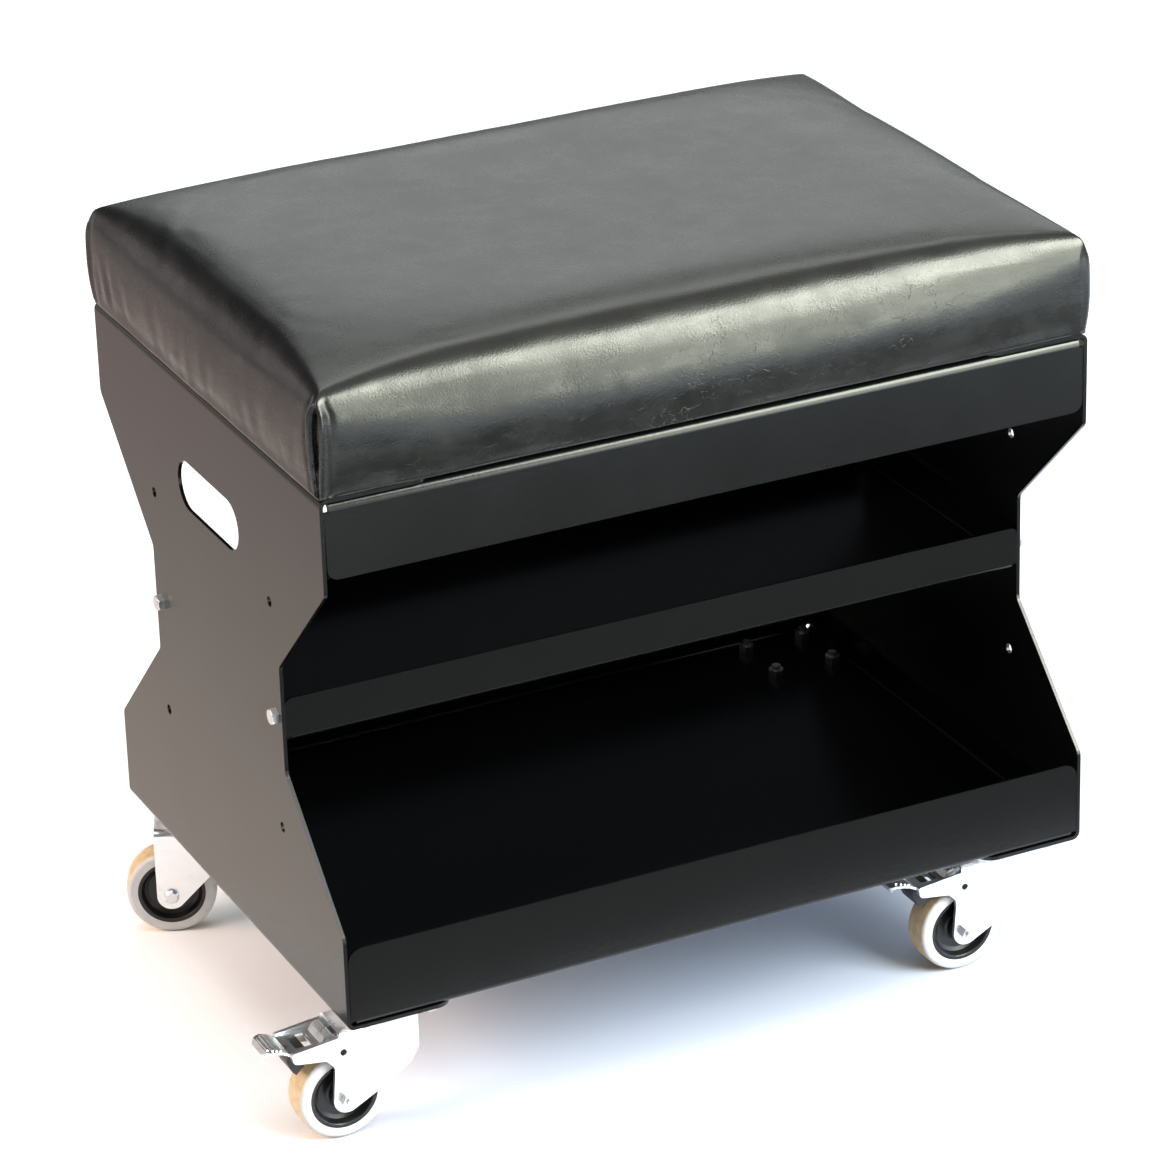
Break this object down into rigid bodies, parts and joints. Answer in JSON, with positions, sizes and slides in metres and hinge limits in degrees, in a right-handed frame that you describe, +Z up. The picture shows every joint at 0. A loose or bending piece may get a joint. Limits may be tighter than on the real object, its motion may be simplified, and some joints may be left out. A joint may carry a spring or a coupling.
{
  "type": "rolling detailing stool",
  "caption": "Low rolling workshop stool: padded seat on a folded sheet-steel frame with a bolted shelf, a bottom tray, hand slots in the sides and swivel castors, the front ones braked.",
  "frame": {"origin": "on the floor, under the centre of the whole object's box at rest; the middle of the frame is 17.3 mm towards +X of it, because the front left brake pedal stands out past the left side", "axes": "+Z up; +X along the stool's width, from the left side panel to the right; +Y from the front, where the brake pedals are, to the back"},
  "size_m": [0.4716, 0.303, 0.4279],
  "materials": {
    "powder_coat": "satin black powder coat",
    "leatherette": "glossy black leatherette with a fine grain",
    "foam": "open-cell foam",
    "plywood": "bare birch plywood",
    "castor_zinc": "bright zinc plate",
    "fastener_zinc": "bright zinc plate",
    "bearing_steel": "hardened and polished",
    "black_plastic": "moulded, satin",
    "brake_plastic": "moulded, satin",
    "grey_rubber": "non-marking grey rubber"
  },
  "bodies": {
    "frame": {"left_side_panel": "powder_coat", "right_side_panel": "powder_coat", "front_rail": "powder_coat", "rear_rail": "powder_coat", "middle_shelf": "powder_coat", "bottom_tray": "powder_coat", "shelf_bolts": "fastener_zinc", "shelf_nuts": "fastener_zinc", "seat_board": "plywood", "seat_foam": "foam", "seat_cover": "leatherette", "cover_staples": "fastener_zinc", "seat_screws": "fastener_zinc", "castor_plate_bolts": "fastener_zinc", "castor_plate_nuts": "fastener_zinc", "castor_plate_fl": "castor_zinc", "castor_plate_fr": "castor_zinc", "castor_plate_rl": "castor_zinc", "castor_plate_rr": "castor_zinc", "kingpin_fl": "castor_zinc", "kingpin_fr": "castor_zinc", "kingpin_rl": "castor_zinc", "kingpin_rr": "castor_zinc"},
    "castor_fl": {"fork_fl": "castor_zinc", "swivel_balls_fl": "bearing_steel", "axle_bolt_fl": "fastener_zinc", "axle_nut_fl": "fastener_zinc", "axle_sleeve_fl": "castor_zinc", "pedal_pin_fl": "castor_zinc"},
    "wheel_fl": {"wheel_centre_fl": "black_plastic", "tyre_fl": "grey_rubber"},
    "pedal_fl": {"brake_pedal_fl": "castor_zinc", "brake_shoe_fl": "brake_plastic", "pedal_spring_fl": "bearing_steel"},
    "castor_fr": {"fork_fr": "castor_zinc", "swivel_balls_fr": "bearing_steel", "axle_bolt_fr": "fastener_zinc", "axle_nut_fr": "fastener_zinc", "axle_sleeve_fr": "castor_zinc", "pedal_pin_fr": "castor_zinc"},
    "wheel_fr": {"wheel_centre_fr": "black_plastic", "tyre_fr": "grey_rubber"},
    "pedal_fr": {"brake_pedal_fr": "castor_zinc", "brake_shoe_fr": "brake_plastic", "pedal_spring_fr": "bearing_steel"},
    "castor_rl": {"fork_rl": "castor_zinc", "swivel_balls_rl": "bearing_steel", "axle_bolt_rl": "fastener_zinc", "axle_nut_rl": "fastener_zinc", "axle_sleeve_rl": "castor_zinc"},
    "wheel_rl": {"wheel_centre_rl": "black_plastic", "tyre_rl": "grey_rubber"},
    "castor_rr": {"fork_rr": "castor_zinc", "swivel_balls_rr": "bearing_steel", "axle_bolt_rr": "fastener_zinc", "axle_nut_rr": "fastener_zinc", "axle_sleeve_rr": "castor_zinc"},
    "wheel_rr": {"wheel_centre_rr": "black_plastic", "tyre_rr": "grey_rubber"}
  },
  "joints": [
    {"name": "castor_fl_swivel", "type": "hinge", "parent": "frame", "child": "castor_fl", "pos_m": [-0.1652, -0.119, 0.066], "axis": [0, 0, 1], "continuous": true},
    {"name": "wheel_fl_spin", "type": "hinge", "parent": "castor_fl", "child": "wheel_fl", "pos_m": [-0.1922, -0.119, 0.025], "axis": [0, -1, 0], "continuous": true},
    {"name": "pedal_fl_press", "type": "hinge", "parent": "castor_fl", "child": "pedal_fl", "pos_m": [-0.1932, -0.119, 0.0528], "axis": [0, -1, 0], "range_deg": [0, 16]},
    {"name": "castor_fr_swivel", "type": "hinge", "parent": "frame", "child": "castor_fr", "pos_m": [0.1998, -0.119, 0.066], "axis": [0, 0, 1], "continuous": true},
    {"name": "wheel_fr_spin", "type": "hinge", "parent": "castor_fr", "child": "wheel_fr", "pos_m": [0.1728, -0.119, 0.025], "axis": [0, -1, 0], "continuous": true},
    {"name": "pedal_fr_press", "type": "hinge", "parent": "castor_fr", "child": "pedal_fr", "pos_m": [0.1718, -0.119, 0.0528], "axis": [0, -1, 0], "range_deg": [0, 16]},
    {"name": "castor_rl_swivel", "type": "hinge", "parent": "frame", "child": "castor_rl", "pos_m": [-0.1652, 0.119, 0.066], "axis": [0, 0, 1], "continuous": true},
    {"name": "wheel_rl_spin", "type": "hinge", "parent": "castor_rl", "child": "wheel_rl", "pos_m": [-0.18499, 0.1274, 0.025], "axis": [-0.3907, -0.9205, 0], "continuous": true},
    {"name": "castor_rr_swivel", "type": "hinge", "parent": "frame", "child": "castor_rr", "pos_m": [0.1998, 0.119, 0.066], "axis": [0, 0, 1], "continuous": true},
    {"name": "wheel_rr_spin", "type": "hinge", "parent": "castor_rr", "child": "wheel_rr", "pos_m": [0.17877, 0.12347, 0.025], "axis": [-0.2079, -0.9781, 0], "continuous": true}
  ]
}
